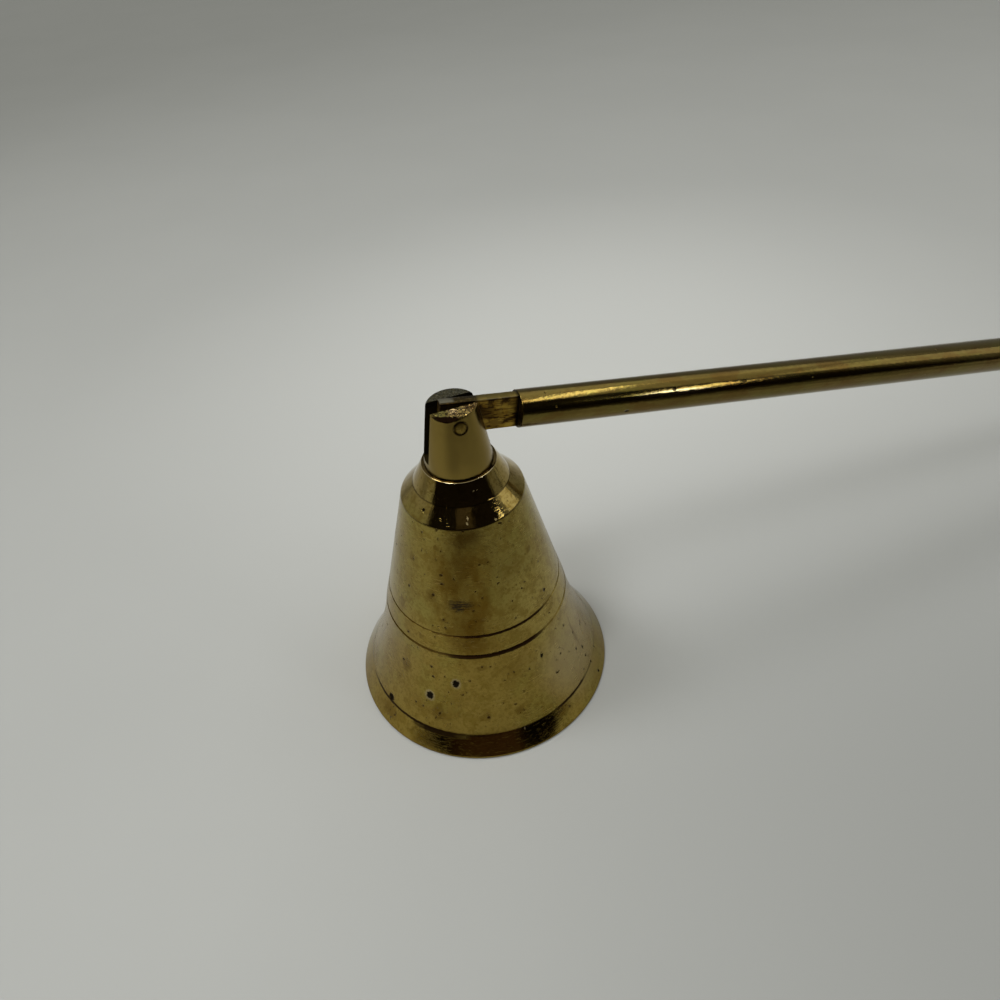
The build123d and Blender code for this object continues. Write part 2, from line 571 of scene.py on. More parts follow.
def coated(tree, ground, coats, socket):
    """Gives a socket a colour with coats over it in order, each a mask, a strength and a colour."""
    colour = paint(ground)
    for mask, strength, tone in coats:
        colour = put(tree, "ShaderNodeMix", {
            0: both(tree, mask, strength), 6: colour, 7: paint(tone)}, data_type="RGBA").outputs[2]
    tree.links.new(colour, socket)


def rippled(tree, place, size, reach):
    """Coordinates pushed about by noise, so that blemishes get ragged edges."""
    noise = put(tree, "ShaderNodeTexNoise", {
        "Vector": place, "Scale": per_mm(size), "Detail": 3.0}).outputs["Color"]
    push = put(tree, "ShaderNodeVectorMath", {
        0: noise, 1: (0.5, 0.5, 0.5)}, operation="SUBTRACT").outputs[0]
    push = stretched(tree, push, [2 * reach * MM] * 3)
    return put(tree, "ShaderNodeVectorMath", {0: place, 1: push}, operation="ADD").outputs[0]


def unrolled(tree, place, radius):
    """A turned surface laid flat at one radius, mm, seam under the handle, and the height up it."""
    height = put(tree, "ShaderNodeSeparateXYZ", {0: place}).outputs[2]
    turned_round = put(tree, "ShaderNodeSeparateXYZ", {0: stretched(tree, place, (-1, -1, 1))})
    around = put(tree, "ShaderNodeMath", {
        0: turned_round.outputs[1], 1: turned_round.outputs[0]}, operation="ARCTAN2").outputs[0]
    around = both(tree, around, radius * MM)
    return put(tree, "ShaderNodeCombineXYZ", {0: around, 1: height}).outputs[0], height


def stretched(tree, place, squeeze):
    """Coordinates scaled along each axis: squeezed along one, a pattern runs long that way."""
    return put(tree, "ShaderNodeVectorMath", {
        0: place, 1: squeeze}, operation="MULTIPLY").outputs[0]


def lathe_lines(tree, flat, spacing):
    """Rings left by turning, on a surface laid flat, drawn coarser than the real ones so they show."""
    return clouds(tree, stretched(tree, flat, (0.06, 1, 1)), spacing, 0.2, 0.8)


def relief(tree, shader, layers):
    """Bumps laid one on another, each a height pattern and its depth in mm."""
    normal = None
    for height, depth in layers:
        wires = {"Height": height, "Strength": 1.0, "Distance": depth * MM}
        if normal is not None:
            wires["Normal"] = normal
        normal = put(tree, "ShaderNodeBump", wires).outputs[0]
    tree.links.new(normal, shader.inputs["Normal"])


def graded(tree, shader, smooth, coats):
    """Roughness with duller patches laid over it."""
    value = smooth
    for mask, rough in coats:
        value = put(tree, "ShaderNodeMix", {
            0: mask, 2: value, 3: rough}, data_type="FLOAT").outputs[0]
    tree.links.new(value, shader.inputs["Roughness"])


def old_polished_brass():
    """Turned brass, polished long ago: olive gold, brown tarnish clouds, dark specks and pits."""
    material, tree, shader, place = blank_material("turned_brass_old_polish")
    flat, height = unrolled(tree, place, 12.0)
    sideways = put(tree, "ShaderNodeSeparateXYZ", {0: place}).outputs[0]
    ragged = rippled(tree, place, 0.3, 0.30)
    tattered = rippled(tree, place, 1.0, 0.9)
    ragged_height = put(tree, "ShaderNodeSeparateXYZ", {
        0: rippled(tree, place, 0.6, 0.09)}).outputs[2]
    rim = put(tree, "ShaderNodeMapRange", {
        "Value": height, "From Min": (RIM_TOP[1] + 0.05) * MM,
        "From Max": (RIM_TOP[1] - 0.1) * MM}).outputs[0]
    crown = put(tree, "ShaderNodeMapRange", {
        "Value": height, "From Min": (SHOULDER[1] - 0.1) * MM,
        "From Max": (SHOULDER[1] + 0.05) * MM}).outputs[0]
    polished = either(tree, rim, crown)
    dull = outside(tree, polished)
    lines = lathe_lines(tree, flat, 0.2)
    scuffs = both(
        tree,
        clouds(tree, stretched(tree, flat, (0.10, 1, 1)), 0.16, 0.58, 0.66),
        clouds(tree, place, 5.0, 0.48, 0.60))
    cloud = clouds(tree, place, 9.0, 0.48, 0.68)
    green = clouds(tree, place, 6.0, 0.50, 0.64)
    mottle = clouds(tree, tattered, 1.8, 0.46, 0.60, 6.0, 0.65)
    grain = clouds(tree, place, 0.45, 0.48, 0.62)
    drips = clouds(tree, stretched(tree, place, (1, 1, 0.4)), 2.6, 0.42, 0.60)
    # Brown tarnish on the bell's front, also painted darker as a painted dark reflection of the room in
    # front
    front_tarnish_and_shade = mark(tree, rippled(tree, place, 4, 3.4), (-4.2, -10.8, 26.5), (6.4, 6.4, 15.0), 0.75)
    blotch = mark(tree, tattered, (-2.3, -8.6, 35.6), (2.8, 2.2, 2.4), 0.8)
    crusts = clouds(tree, place, 4.0, 0.46, 0.56)
    clusters = blots(tree, tattered, [
        ((-8.12, -7.9, 26.0), (1.1, 1.1, 1.2)), ((-11.81, -3.8, 22.0), (1.0, 1.0, 1.5)),
        ((-2.5, -11.9, 22.8), (1.4, 1.3, 0.5)), ((-7.33, -9.8, 22.5), (0.6, 0.6, 0.5)),
        ((-0.68, -9.85, 31.62), (1.0, 1.0, 0.8)), ((6.16, -8.3, 29.82), (0.6, 0.6, 0.8)),
        ((-9.14, -4.26, 30.79), (0.6, 0.6, 1.0)), ((-6.09, -7.03, 33.81), (0.7, 0.7, 0.7)),
        ((-10.63, -8.06, 18.41), (0.7, 0.7, 0.6)), ((-13.6, -3.1, 16.6), (0.8, 0.8, 0.5)),
        ((-13.5, -6.6, 11.4), (1.3, 1.2, 1.8)), ((-11.0, -13.0, 6.4), (1.6, 1.4, 2.0)),
        ((-3.6, -13.8, 14.6), (1.3, 1.0, 0.6)), ((0.33, -16.98, 6.25), (1.2, 1.0, 1.0)),
        ((-4.66, -16.34, 6.23), (1.3, 1.0, 0.8)),
        ((-17.7, -7.2, 2.2), (1.8, 2.2, 1.4)), ((7.2, -17.3, 2.6), (2.2, 1.6, 1.2))])
    dots = either(
        tree,
        both(tree, dull, both(tree, specks(tree, ragged, 0.8, 0.28, 0.5), crusts)),
        both(tree, dull, specks(tree, rippled(tree, place, 0.5, 0.6), 2.6, 0.42, 0.28)),
        both(tree, specks(tree, ragged, 0.6, 0.3, 0.9), clusters))
    fine_dots = specks(tree, ragged, 0.55, 0.17, 0.45)
    pits = either(
        tree,
        blots(tree, ragged, [
            ((-11.54, -11.19, 8.54), (0.72, 0.72, 0.84)),
            ((-7.66, -12.94, 11.66), (0.64, 0.64, 0.80)),
            ((5.45, -13.68, 12.77), (0.32, 0.32, 0.46)), ((-16.97, -6.06, 3.9), (0.75, 0.75, 0.65)),
            ((-6.45, -3.8, 37.95), (0.30, 0.30, 0.30))], 0.35),
        blots(tree, ragged, [
            ((13.47, -10.19, 6.46), (0.30, 0.30, 0.75)), ((13.73, -10.92, 4.98), (0.26, 0.26, 0.60)),
            ((14.52, -11.25, 3.31), (0.22, 0.26, 0.60)), ((16.18, -8.75, 3.27), (0.22, 0.22, 0.30)),
            ((15.55, -12.01, 1.28), (0.30, 0.30, 0.50))], 0.6))
    halos = blots(tree, ragged, [
        ((-11.54, -11.19, 8.54), (1.04, 1.04, 1.18)),
        ((-7.66, -12.94, 11.66), (0.94, 0.94, 1.12))], 0.4)
    rubbed = clouds(tree, stretched(tree, flat, (0.2, 1, 1)), 0.25, 0.36, 0.52)
    smudge = both(tree, mark(tree, tattered, (-4.9, -10.44, 25.16), (2.3, 2.3, 1.3), 0.7), rubbed)
    run_mark = mark(tree, rippled(tree, flat, 2.0, 0.4), (29.7, 10.3, 0), (0.3, 4.4, 1.0), 0.7)
    grime = clouds(tree, place, 3.0, 0.35, 0.60)
    away_from_right = put(tree, "ShaderNodeMapRange", {
        "Value": sideways, "From Min": 10.5 * MM, "From Max": 5.0 * MM, "To Min": 0.45}).outputs[0]
    cuts = both(tree, away_from_right, either(
        tree,
        level_band(tree, ragged_height, LOWER_LINE[1], 0.17, 0.12),
        level_band(tree, ragged_height, UPPER_LINE[1], 0.10, 0.10)))
    corners = either(
        tree,
        level_band(tree, ragged_height, SHOULDER[1] - 0.1, 0.05, 0.07),
        level_band(tree, ragged_height, COLLAR_LINE[1] - 0.02, 0.04, 0.06))
    crust = either(
        tree,
        both(tree, level_band(tree, ragged_height, LOWER_LINE[1] - 0.05, 0.30, 0.12),
             mark(tree, tattered, (-1.5, -13.8, 16.75), (9.5, 6.0, 3.0), 0.4)),
        both(tree, level_band(tree, ragged_height, UPPER_LINE[1], 0.17, 0.10),
             mark(tree, tattered, (1.0, -12.8, 20.05), (9.0, 6.0, 3.0), 0.4)),
        both(tree, level_band(tree, ragged_height, RIM_TOP[1] - 0.16, 0.10, 0.14), either(
            tree,
            mark(tree, tattered, (-14.5, -11.0, 3.4), (10.0, 13.0, 3.0), 0.4),
            mark(tree, tattered, (9.5, -15.6, 3.4), (4.0, 4.0, 3.0), 0.4))),
        both(tree, level_band(tree, ragged_height, RIM_TOP[1] - 0.4, 0.25, 0.2),
             mark(tree, tattered, (-11.5, -14.0, 3.0), (5.5, 5.5, 3.0), 0.6)))
    rim_grime = both(tree, level_band(tree, ragged_height, RIM_TOP[1] - 0.2, 0.05, 0.16), grime)
    # The collar's flat top painted dark: painted shade, mirroring the post's dark foot
    ledge_shade = level_band(tree, height, COLLAR_TOP[1] + 0.03, 0.03, 0.01)
    # A pale thin ring just under the collar's top edge: a painted highlight
    ledge_highlight = level_band(tree, height, COLLAR_TOP[1] - 0.045, 0.012, 0.022)
    # The lip painted darker: a painted contact shadow where the bell stands on the table
    lip_contact_shadow = level_band(tree, height, 0.0, 0.3, 0.2)
    # Painted pale sheen low on the right: a painted reflection of the pale table
    floor_reflection_sheen = mark(tree, place, (11.5, -12.5, 9.0), (9.5, 9.5, 10.0), 0.8)
    # The right side painted paler: a painted reflection of brighter surroundings
    right_side_sheen = mark(tree, rippled(tree, place, 4, 2.0), (9.0, -11.0, 19.0), (10.0, 9.0, 22.0), 0.8)
    body = both(tree, dull, put(tree, "ShaderNodeMapRange", {
        "Value": height, "From Min": 19.0 * MM, "From Max": 23.0 * MM}).outputs[0])
    rim_patches = both(tree, clouds(tree, ragged, 0.9, 0.42, 0.58), mark(
        tree, tattered, (-14.6, -12.4, 1.8), (2.4, 2.2, 1.7), 0.7))
    # Brown stain across the rim's front, also painted dark as a painted dark reflection
    rim_stain_and_shade = both(tree, rim, either(
        tree,
        mark(tree, rippled(tree, place, 1.5, 0.8), (-12.0, -15.0, 1.8), (6.6, 6.6, 2.6), 0.8),
        mark(tree, rippled(tree, place, 1.5, 0.4), (2.5, -18.8, 2.2), (4.2, 4.2, 2.6), 0.4)))
    waist_stain = mark(tree, rippled(tree, place, 3, 1.5), (-4.7, -11.8, 20.5), (4.0, 4.0, 5.0), 0.8)
    # Small pale rough spots on the dark crown and rim: painted glints
    painted_glints = blots(tree, ragged, [
        ((-1.73, -7.8, 37.3), (0.24, 0.3, 0.16)), ((-1.5, -7.4, 37.75), (0.10, 0.4, 0.55)),
        ((0.15, -5.66, 40.5), (0.16, 0.2, 0.16)), ((0.62, -5.62, 40.5), (0.13, 0.2, 0.13)),
        ((2.06, -8.13, 36.93), (0.30, 0.2, 0.10)), ((0.55, -18.43, 3.21), (0.22, 0.3, 0.22))], 0.7)
    coated(tree, "#9C853F", [
        (crown, 0.6, "#AA955C"),
        (cloud, 0.55, "#846A2B"),
        (green, 0.40, "#94893F"),
        (body, 0.30, "#9A9250"),
        (right_side_sheen, 0.60, "#BCA85E"),
        (mottle, 0.55, "#826A28"),
        (grain, 0.35, "#755E24"),
        (floor_reflection_sheen, 0.60, "#B8A67C"),
        (both(tree, front_tarnish_and_shade, drips), 0.60, "#5E4006"),
        (front_tarnish_and_shade, 0.36, "#74530C"),
        (waist_stain, 0.45, "#5A3E06"),
        (blotch, 0.7, "#4A2E04"),
        (clusters, 0.45, "#644A16"),
        (rim_stain_and_shade, 0.65, "#33230A"),
        (rim_patches, 0.5, "#8E7228"),
        (scuffs, 0.40, "#B29C5E"),
        (run_mark, 0.5, "#5C4415"),
        (fine_dots, 0.6, "#5C4415"),
        (dots, 0.9, "#33220A"),
        (smudge, 0.9, "#382E22"),
        (halos, 0.6, "#B8A880"),
        (cuts, 0.85, "#2E1C06"),
        (corners, 0.6, "#35220A"),
        (rim_grime, 0.6, "#35220A"),
        (crust, 0.9, "#200F06"),
        (lip_contact_shadow, 0.6, "#5E4C28"),
        (ledge_shade, 0.8, "#2E2110"),
        (ledge_highlight, 0.8, "#D2C6A8"),
        (painted_glints, 0.5, "#B8AD90"),
        (pits, 0.97, "#0B0503")], shader.inputs["Base Color"])
    graded(tree, shader, 0.22, [
        (cloud, 0.30), (scuffs, 0.34), (polished, 0.06), (rim_patches, 0.3), (dots, 0.45),
        (smudge, 0.5), (either(tree, cuts, crust), 0.55), (painted_glints, 0.5), (pits, 0.8)])
    dents = both(tree, either(tree, pits, dots), -1.0)
    ripples = both(tree, crown, clouds(tree, stretched(tree, flat, (1, 0.5, 1)), 1.3, 0.2, 0.8, 2.0))
    relief(tree, shader, [
        (lines, 0.0012), (ripples, 0.007), (mottle, 0.003), (scuffs, 0.002), (dents, 0.05)])
    return material


def sooty_brass():
    """Turned brass inside the cup, never polished: brown, with soft soot from candle smoke."""
    material, tree, shader, place = blank_material("turned_brass_sooted")
    laid_flat, height = unrolled(tree, place, 5.0)
    lines = lathe_lines(tree, laid_flat, 0.3)
    soot = clouds(tree, place, 7.0, 0.38, 0.62)
    crown = put(tree, "ShaderNodeMapRange", {
        "Value": height, "From Min": 12 * MM, "From Max": 34 * MM}).outputs[0]
    coated(tree, "#7A6330", [
        (soot, 0.6, "#3E3018"), (crown, 0.7, "#1E1812")], shader.inputs["Base Color"])
    graded(tree, shader, 0.42, [(soot, 0.62)])
    relief(tree, shader, [(lines, 0.006)])
    return material


def satin_brass():
    """Turned brass worn to a satin on the sides, filed coarse and grimy on the sawn tops."""
    material, tree, shader, place = blank_material("turned_brass_satin")
    laid_flat, height = unrolled(tree, place, 5.0)
    lines = lathe_lines(tree, laid_flat, 0.2)
    cloud = clouds(tree, place, 5.0, 0.45, 0.7)
    dots = specks(tree, rippled(tree, place, 0.8, 0.2), 1.3, 0.12, 0.2)
    split = put(tree, "ShaderNodeSeparateXYZ", {0: place})
    facing = put(tree, "ShaderNodeNewGeometry", {}).outputs["Normal"]
    upward = put(tree, "ShaderNodeSeparateXYZ", {0: facing}).outputs[2]
    top = put(tree, "ShaderNodeMapRange", {
        "Value": upward, "From Min": 0.4, "From Max": 0.75}).outputs[0]
    high = put(tree, "ShaderNodeMapRange", {
        "Value": height, "From Min": 49.6 * MM, "From Max": 50.2 * MM}).outputs[0]
    toward_flat = put(tree, "ShaderNodeVectorMath", {
        0: facing, 1: FILED_FLAT_FACING}, operation="DOT_PRODUCT").outputs["Value"]
    near_top = put(tree, "ShaderNodeMapRange", {
        "Value": height, "From Min": 49.3 * MM, "From Max": 49.6 * MM}).outputs[0]
    # The filed flat painted nearly black: painted shade
    flat = both(tree, near_top, put(tree, "ShaderNodeMapRange", {
        "Value": toward_flat, "From Min": 0.985, "From Max": 0.995}).outputs[0])
    filed = both(tree, both(tree, top, high), outside(tree, flat))
    # A dark crescent under the front cheek's top edge: painted shade
    front_edge_shade = both(tree, outside(tree, filed), mark(
        tree, rippled(tree, place, 0.5, 0.1), (-1.72, -2.93, 50.3), (2.3, 2.3, 0.34), 0.3))
    # The back cheek's top painted dark grey: dark patina, and painted shade as well
    back = put(tree, "ShaderNodeMapRange", {
        "Value": split.outputs[1], "From Min": -0.6 * MM, "From Max": 0.6 * MM}).outputs[0]
    back_top = both(tree, back, high)
    grit = clouds(tree, place, 0.4, 0.48, 0.58)
    back_grit = both(tree, back_top, clouds(tree, place, 0.25, 0.45, 0.6))
    grimy = both(tree, filed, grit)
    filed_left = both(tree, filed, mark(tree, place, (-2.0, -1.6, 50.5), (1.5, 1.8, 1.5), 0.6))
    # The middle of the filed top painted pale: a painted highlight
    filed_middle_highlight = both(tree, filed, mark(tree, place, (-0.3, -1.7, 50.5), (0.8, 1.2, 1.5), 0.6))
    filed_right = both(tree, filed, mark(tree, place, (2.2, -1.4, 50.5), (1.6, 1.6, 1.5), 0.6))
    # A dark band round the post's foot where it meets the collar: painted shadow
    foot = level_band(tree, height, COLLAR_TOP[1], 0.12, 0.1)
    across = put(tree, "ShaderNodeMath", {0: split.outputs[1]}, operation="ABSOLUTE").outputs[0]
    in_slot = put(tree, "ShaderNodeMapRange", {
        "Value": across, "From Min": (SLOT_WIDTH / 2 + 0.08) * MM,
        "From Max": (SLOT_WIDTH / 2 + 0.02) * MM}).outputs[0]
    above_floor = put(tree, "ShaderNodeMapRange", {
        "Value": height, "From Min": (SLOT_FLOOR - 0.1) * MM, "From Max": SLOT_FLOOR * MM}).outputs[0]
    # The slot's inside painted nearly black: painted shade between the cheeks
    slot_shade = both(tree, in_slot, above_floor)
    ring, ring_back = (
        mark(tree, place, (0, side * POST_AT_PIN, PIN_LEVEL), (1.16, 0.6, 1.16), 0.2)
        for side in (-1, 1))
    coated(tree, "#8A753A", [
        (cloud, 0.5, "#735D28"),
        (dots, 0.7, "#4A3510"),
        (filed, 0.7, "#B29A62"),
        (filed_left, 0.7, "#6C6C36"),
        (filed_middle_highlight, 0.7, "#E0C290"),
        (filed_right, 0.7, "#86663A"),
        (grimy, 0.9, "#3E2E14"),
        (flat, 0.98, "#180903"),
        (front_edge_shade, 0.95, "#170D06"),
        (back_top, 0.9, "#303127"),
        (back_grit, 0.5, "#727262"),
        (ring, 0.8, "#2A1A06"),
        (ring_back, 0.8, "#2A1A06"),
        (foot, 0.85, "#241505"),
        (slot_shade, 0.92, "#120D06")], shader.inputs["Base Color"])
    graded(tree, shader, 0.24, [
        (cloud, 0.30), (filed, 0.2), (flat, 0.1), (front_edge_shade, 0.45), (back_top, 0.42), (slot_shade, 0.7)])
    relief(tree, shader, [(lines, 0.0012), (grimy, 0.03), (back_grit, 0.03)])
    return material


def rod_coordinates(tree, place):
    """Coordinates along the rod, from the pin."""
    start = (
        -ROD_DROP * math.sin(REST_SLOPE) * MM, 0,
        (PIN_LEVEL - ROD_DROP * math.cos(REST_SLOPE)) * MM)
    return put(tree, "ShaderNodeMapping", {
        "Vector": place, "Rotation": (0, REST_SLOPE, 0), "Location": start},
        vector_type="TEXTURE").outputs[0]


def drawn_brass():
    """Drawn brass rod, buffed lengthways: streaks, a painted highlight streak, soft handling marks and
    a few nicks.
    """
    material, tree, shader, place = blank_material("drawn_brass_buffed")
    rod = rod_coordinates(tree, place)
    # Real drawing lines are too fine to show, so these are coarser
    streaks = clouds(tree, stretched(tree, rod, (0.03, 1, 1)), 0.35, 0.3, 0.7)
    cloud = clouds(tree, stretched(tree, rod, (0.35, 1, 1)), 4.0, 0.45, 0.7)
    blush = clouds(tree, stretched(tree, rod, (0.5, 1, 1)), 2.4, 0.48, 0.60)
    olive = clouds(tree, stretched(tree, rod, (0.4, 1, 1)), 3.1, 0.50, 0.62)
    peel = clouds(tree, stretched(tree, rod, (0.4, 1, 1)), 0.32, 0.3, 0.7)
    dots = specks(tree, rippled(tree, rod, 0.8, 0.2), 1.1, 0.17, 0.4)
    # A pale streak along the rod where a lamp is mirrored: a painted highlight
    highlight_streak = mark(
        tree, rippled(tree, rod, 0.6, 0.12), (30.5, -2.2, 1.25), (7.5, 0.7, 0.5), 0.6)
    nicks = blots(tree, rod, [
        ((30.7, -1.94, 1.66), (0.35, 0.35, 0.35)), ((42.0, -1.96, 1.64), (0.45, 0.35, 0.35)),
        ((23.7, -2.44, -0.73), (0.45, 0.3, 0.3))])
    coated(tree, "#84723C", [
        (cloud, 0.50, "#6A5826"),
        (streaks, 0.45, "#665528"),
        (blush, 0.45, "#6E4E22"),
        (olive, 0.40, "#7C7638"),
        (peel, 0.25, "#5E4C22"),
        (highlight_streak, 0.7, "#B8AA80"),
        (dots, 0.7, "#4A3510"),
        (nicks, 0.85, "#1E1206")], shader.inputs["Base Color"])
    graded(tree, shader, 0.08, [(cloud, 0.13), (dots, 0.45)])
    dents = both(tree, either(tree, nicks, dots), -1.0)
    relief(tree, shader, [(streaks, 0.0012), (peel, 0.005), (dents, 0.05)])
    return material


def milled_brass():
    """Milled brass flats of the tongue, rubbed in the hinge: scratchy dark stains on gold."""
    material, tree, shader, place = blank_material("milled_brass_stained")
    rod = rod_coordinates(tree, place)
    split = put(tree, "ShaderNodeSeparateXYZ", {0: rod})
    along, rise = split.outputs[0], split.outputs[2]
    slanted = put(tree, "ShaderNodeMapping", {
        "Vector": rod, "Rotation": (0, math.radians(-35), 0), "Scale": (0.25, 1, 1)}).outputs[0]
    scratches = clouds(tree, slanted, 0.45, 0.47, 0.57)
    stain = clouds(tree, rippled(tree, rod, 1.5, 0.5), 1.6, 0.46, 0.54)
    hinge_side = put(tree, "ShaderNodeMapRange", {
        "Value": along, "From Min": 7.5 * MM, "From Max": 3.2 * MM}).outputs[0]
    upper = put(tree, "ShaderNodeMapRange", {
        "Value": rise, "From Min": 0.4 * MM, "From Max": 1.9 * MM}).outputs[0]
    rubbed = either(tree, hinge_side, upper)
    dirt = both(tree, clouds(tree, rippled(tree, rod, 0.8, 0.6), 1.5, 0.42, 0.50), either(
        tree, rubbed, both(tree, scratches, stain)))
    top = put(tree, "ShaderNodeMapRange", {
        "Value": rise, "From Min": 2.28 * MM, "From Max": 2.33 * MM}).outputs[0]
    # A pale line along the top edge of the tongue's face: a painted highlight
    top_edge_highlight = level_band(tree, rise, 2.28, 0.03, 0.04)
    under_edge = level_band(tree, rise, 2.08, 0.07, 0.06)
    # The tongue's top inside the slot painted nearly black: painted shade between the cheeks
    in_slot = both(tree, top, put(tree, "ShaderNodeMapRange", {
        "Value": along, "From Min": 3.2 * MM, "From Max": 2.8 * MM}).outputs[0])
    slot_grit = both(tree, in_slot, clouds(tree, rod, 0.3, 0.48, 0.60))
    across = put(tree, "ShaderNodeMath", {0: split.outputs[1]}, operation="ABSOLUTE").outputs[0]
    mid_strip = put(tree, "ShaderNodeMapRange", {
        "Value": across, "From Min": 0.56 * MM, "From Max": 0.44 * MM}).outputs[0]
    tail = both(tree, both(tree, top, mid_strip), put(tree, "ShaderNodeMapRange", {
        "Value": along, "From Min": 0.1 * MM, "From Max": -0.3 * MM}).outputs[0])
    corner = put(tree, "ShaderNodeMapRange", {
        "Value": along, "From Min": (STEP[1] - 0.5) * MM,
        "From Max": (STEP[1] - 0.1) * MM}).outputs[0]
    coated(tree, "#AC8E3A", [
        (rubbed, 0.5, "#6A4C20"),
        (scratches, 0.55, "#54391A"),
        (stain, 0.5, "#84601A"),
        (dirt, 0.85, "#24130C"),
        (under_edge, 0.7, "#24130C"),
        (top, 0.8, "#756838"),
        (top_edge_highlight, 0.5, "#B0A078"),
        (in_slot, 0.85, "#20160C"),
        (slot_grit, 0.6, "#6A5A34"),
        (tail, 0.85, "#807C6C"),
        (corner, 0.9, "#150C05")], shader.inputs["Base Color"])
    graded(tree, shader, 0.3, [(scratches, 0.42), (dirt, 0.55)])
    relief(tree, shader, [(scratches, 0.01)])
    return material


def riveted_brass():
    """Brass rivet end, hammered and dressed flush: small flats and a dark rim."""
    material, tree, shader, place = blank_material("riveted_brass")
    flats = put(tree, "ShaderNodeTexVoronoi", {
        "Vector": place, "Scale": per_mm(0.5)}).outputs["Distance"]
    cloud = clouds(tree, place, 0.8, 0.4, 0.65)
    split = put(tree, "ShaderNodeSeparateXYZ", {0: place})
    from_axis = put(tree, "ShaderNodeCombineXYZ", {
        0: split.outputs[0], 2: split.outputs[2]}).outputs[0]
    clean_middle = mark(tree, from_axis, (0, 0, PIN_LEVEL), (0.78, 0.78, 0.78), 0.3)
    coated(tree, "#8A7436", [
        (cloud, 0.6, "#665020"), (outside(tree, clean_middle), 0.85, "#251705")],
        shader.inputs["Base Color"])
    graded(tree, shader, 0.26, [(cloud, 0.4)])
    relief(tree, shader, [(flats, 0.02)])
    return material


def screw_brass():
    """Turned brass screw inside the cup, dulled by smoke."""
    material, tree, shader, place = blank_material("turned_brass_screw")
    laid_flat, _ = unrolled(tree, place, 5.0)
    lines = lathe_lines(tree, laid_flat, 0.25)
    soot = clouds(tree, place, 1.6, 0.4, 0.65)
    coated(tree, "#826B33", [(soot, 0.7, "#33281A")], shader.inputs["Base Color"])
    graded(tree, shader, 0.36, [(soot, 0.6)])
    relief(tree, shader, [(lines, 0.004)])
    return material


bell = bell_piece()
finished(bell, "snuffer_head", "bell", [old_polished_brass(), sooty_brass()])
post = post_piece()
finished(post, "snuffer_head", "hinge_post", [satin_brass()])
pin = pin_piece()
finished(pin, "snuffer_head", "hinge_pin", [riveted_brass()])
rod = handle_piece()
finished(rod, "handle_arm", "handle", [drawn_brass(), milled_brass()])
screw_coat = screw_brass()
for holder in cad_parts["crown_screw"].material_slots:
    holder.material = screw_coat


# Floor, room, light and camera

def outlook(tree, toward):
    """A direction's bearing as a level vector, and its rise as a sine."""
    level = stretched(tree, toward, (1, 1, 0))
    level = put(tree, "ShaderNodeVectorMath", {0: level}, operation="NORMALIZE").outputs[0]
    return level, put(tree, "ShaderNodeSeparateXYZ", {0: toward}).outputs[2]


def side_mask(tree, level, bearing, edge, full):
    """One side of the room, by its bearing in degrees, fading between two angles from its middle."""
    turn = math.radians(bearing)
    along_wall = put(tree, "ShaderNodeVectorMath", {
        0: level, 1: (math.cos(turn), math.sin(turn), 0)}, operation="DOT_PRODUCT").outputs["Value"]
    return put(tree, "ShaderNodeMapRange", {
        "Value": along_wall, "From Min": math.cos(math.radians(edge)),
        "From Max": math.cos(math.radians(full))}, interpolation_type="SMOOTHSTEP").outputs[0]


def height_mask(tree, rise, none, whole):
    """Where the room shows by the height looked up to, as its sine."""
    return put(tree, "ShaderNodeMapRange", {
        "Value": rise, "From Min": none, "From Max": whole},
        interpolation_type="SMOOTHSTEP").outputs[0]


def staged(piece, finish, mirrored_only):
    """Puts a finish on a stage piece. One that is only mirrored is hidden from camera and table."""
    piece.data.materials.append(finish)
    if mirrored_only:
        piece.visible_camera = piece.visible_diffuse = piece.visible_shadow = False


def table_floor():
    """A matt painted table: pale grey, with a painted pool of light behind the snuffer and a painted
    shadow in front of it.
    """
    nothing_selected()
    bpy.ops.mesh.primitive_plane_add(size=6.0, location=(0, 0, 0))
    floor = named("floor")
    table, tree, shader, place = blank_material("painted_table_matt", metallic=0.0)
    shader.inputs["Roughness"].default_value = 0.7
    haze = clouds(tree, place, 60.0, 0.3, 0.7)
    # A painted pool of light behind the snuffer and a painted shadow in front of it
    painted_light_pool = mark(tree, place, (55, 80, 0), (150, 130, 130), 0.9)
    painted_shadow = mark(tree, place, (75, -85, 0), (140, 140, 140), 0.9)
    coated(tree, "#ADAEAB", [
        (haze, 0.3, "#A7A8A5"), (painted_light_pool, 1.0, "#C2C3C0"), (painted_shadow, 1.0, "#949592")],
        shader.inputs["Base Color"])
    staged(floor, table, mirrored_only=False)


def front_shade_sheet():
    """A dark sheet of painted shade on the front of the table, fading out towards the snuffer. Only
    brass mirrors it.
    """
    nothing_selected()
    bpy.ops.mesh.primitive_plane_add(size=4.0, location=(0, 0, 0))
    shade_sheet = named("front_shade_sheet")
    edit_all(shade_sheet)
    bpy.ops.transform.translate(value=(0, -2.03, 0.0002))
    bpy.ops.object.mode_set(mode="OBJECT")
    black, tree, shader, place = blank_material("black_shade_sheet_matt", metallic=0.0)
    shader.inputs["Roughness"].default_value = 0.9
    nap = clouds(tree, place, 3.0, 0.3, 0.7)
    coated(tree, "#1A1614", [(nap, 0.5, "#141110")], shader.inputs["Base Color"])
    out = put(tree, "ShaderNodeSeparateXYZ", {0: place}).outputs[1]
    far = put(tree, "ShaderNodeMapRange", {
        "Value": out, "From Min": -105 * MM, "From Max": -215 * MM},
        interpolation_type="SMOOTHSTEP").outputs[0]
    left = both(tree, mark(tree, place, (-62, -95, 0), (70, 70, 70), 0.9), 0.5)
    right = both(tree, mark(tree, place, (155, -115, 0), (80, 80, 80), 0.6), 0.5)
    tree.links.new(either(tree, far, left, right), shader.inputs["Alpha"])
    staged(shade_sheet, black, mirrored_only=True)


